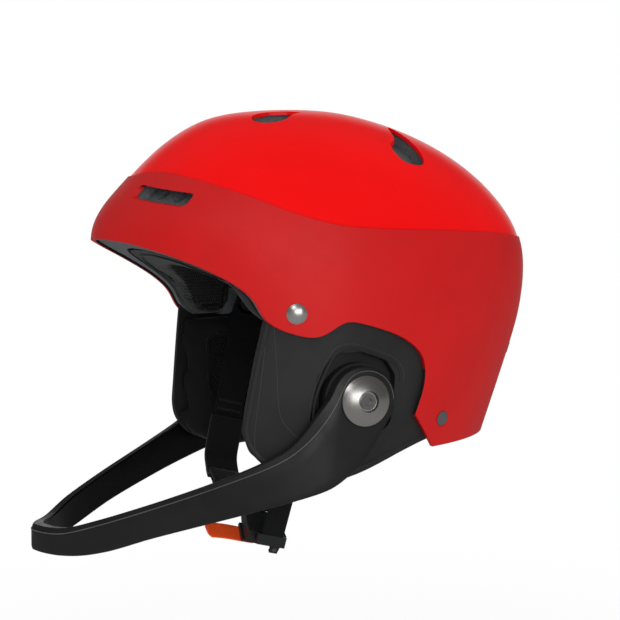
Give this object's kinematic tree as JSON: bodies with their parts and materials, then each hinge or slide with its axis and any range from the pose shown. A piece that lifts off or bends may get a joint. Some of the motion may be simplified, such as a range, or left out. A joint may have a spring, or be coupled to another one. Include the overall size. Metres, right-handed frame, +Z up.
{
  "type": "ski race helmet",
  "caption": "Slalom ski helmet in gloss and matte red with hard black ear guards, swivelling chin guard, chin strap with release buckle and nape adjuster.",
  "frame": {"origin": "middle of the head cavity on the symmetry plane, level with the two front rivets", "axes": "+X towards the wearer's left, -Y forwards, +Z up; the head goes in from below along +Z"},
  "size_m": [0.2258, 0.3258, 0.2725],
  "materials": {
    "crown_red": "gloss",
    "band_red": "matte",
    "liner_grey": "matte foam",
    "slip_plastic": "satin",
    "elastic_grey": "matte",
    "mesh_fabric": "open mesh",
    "rivet_steel": "satin",
    "rivet_plastic": "matte",
    "guard_black": "matte",
    "screw_steel": "satin",
    "webbing": "woven",
    "buckle_black": "satin",
    "tab_orange": "woven",
    "ear_guard_black": "matte",
    "ear_pad_black": "brushed",
    "cap_silver": "satin"
  },
  "bodies": {
    "helmet": {"brow_pad": "mesh_fabric", "clip_mount": "buckle_black", "clip_pin": "screw_steel", "cradle_sleeve_left": "buckle_black", "cradle_sleeve_right": "buckle_black", "crown_pad": "mesh_fabric", "crown_shell": "crown_red", "dial_bracket": "buckle_black", "ear_guard_left": "ear_guard_black", "ear_guard_right": "ear_guard_black", "ear_pad_left": "ear_pad_black", "ear_pad_right": "ear_pad_black", "front_rivets": "rivet_steel", "impact_liner": "liner_grey", "lower_shell": "band_red", "pivot_base_left": "guard_black", "pivot_base_right": "guard_black", "pivot_cap_left": "cap_silver", "pivot_cap_right": "cap_silver", "pivot_nuts": "screw_steel", "pivot_screws": "screw_steel", "rear_pad": "mesh_fabric", "rear_rivets": "rivet_plastic", "side_pad_left": "mesh_fabric", "side_pad_right": "mesh_fabric", "slip_anchors": "elastic_grey", "slip_layer": "slip_plastic", "strap_anchor_left": "screw_steel", "strap_anchor_right": "screw_steel"},
    "chin_guard": {"chin_guard": "guard_black"},
    "chin_strap": {"strap_web_left": "webbing", "strap_web_right": "webbing", "strap_ring": "screw_steel", "chin_pad": "mesh_fabric", "buckle_housing": "buckle_black", "lever_pin": "screw_steel"},
    "strap_end": {"strap_web_end": "webbing", "buckle_tongue": "buckle_black"},
    "buckle_lever": {"buckle_lever": "buckle_black", "release_tab": "tab_orange"},
    "dial": {"dial_wheel": "buckle_black"},
    "cradle": {"nape_cradle": "buckle_black", "nape_pad": "mesh_fabric"},
    "goggle_clip": {"goggle_clip": "buckle_black"}
  },
  "joints": [
    {"name": "chin_guard_swivel", "type": "hinge", "parent": "helmet", "child": "chin_guard", "pos_m": [0, -0.0085, -0.0469], "axis": [-1, 0, 0], "range_deg": [-8, 25]},
    {"name": "chin_strap_swing", "type": "hinge", "parent": "helmet", "child": "chin_strap", "pos_m": [0, -0.015, 0.002], "axis": [-1, 0, 0], "range_deg": [-12, 12]},
    {"name": "buckle_open", "type": "hinge", "parent": "chin_strap", "child": "strap_end", "pos_m": [0.06327, -0.04089, -0.10182], "axis": [0, -0.9703, 0.2419], "range_deg": [0, 40]},
    {"name": "buckle_release", "type": "hinge", "parent": "chin_strap", "child": "buckle_lever", "pos_m": [0.04031, -0.04103, -0.13754], "axis": [0.8339, -0.1335, -0.5355], "range_deg": [0, 20], "stiffness_Nm_per_rad": 0.02, "springref_deg": -17.19},
    {"name": "dial_turn", "type": "hinge", "parent": "helmet", "child": "dial", "pos_m": [0, 0.102, -0.06], "axis": [0, 1, 0], "range_deg": [0, 360]},
    {"name": "cradle_slide", "type": "slide", "parent": "helmet", "child": "cradle", "axis": [0, -1, 0], "range_m": [0, 0.01]},
    {"name": "goggle_clip_hinge", "type": "hinge", "parent": "helmet", "child": "goggle_clip", "pos_m": [0, 0.13454, -0.027], "axis": [1, 0, 0], "range_deg": [0, 60]}
  ],
  "couplings": [
    {"joint": "cradle_slide", "follows": "dial_turn", "m_per_rad": 0.0015915}
  ]
}
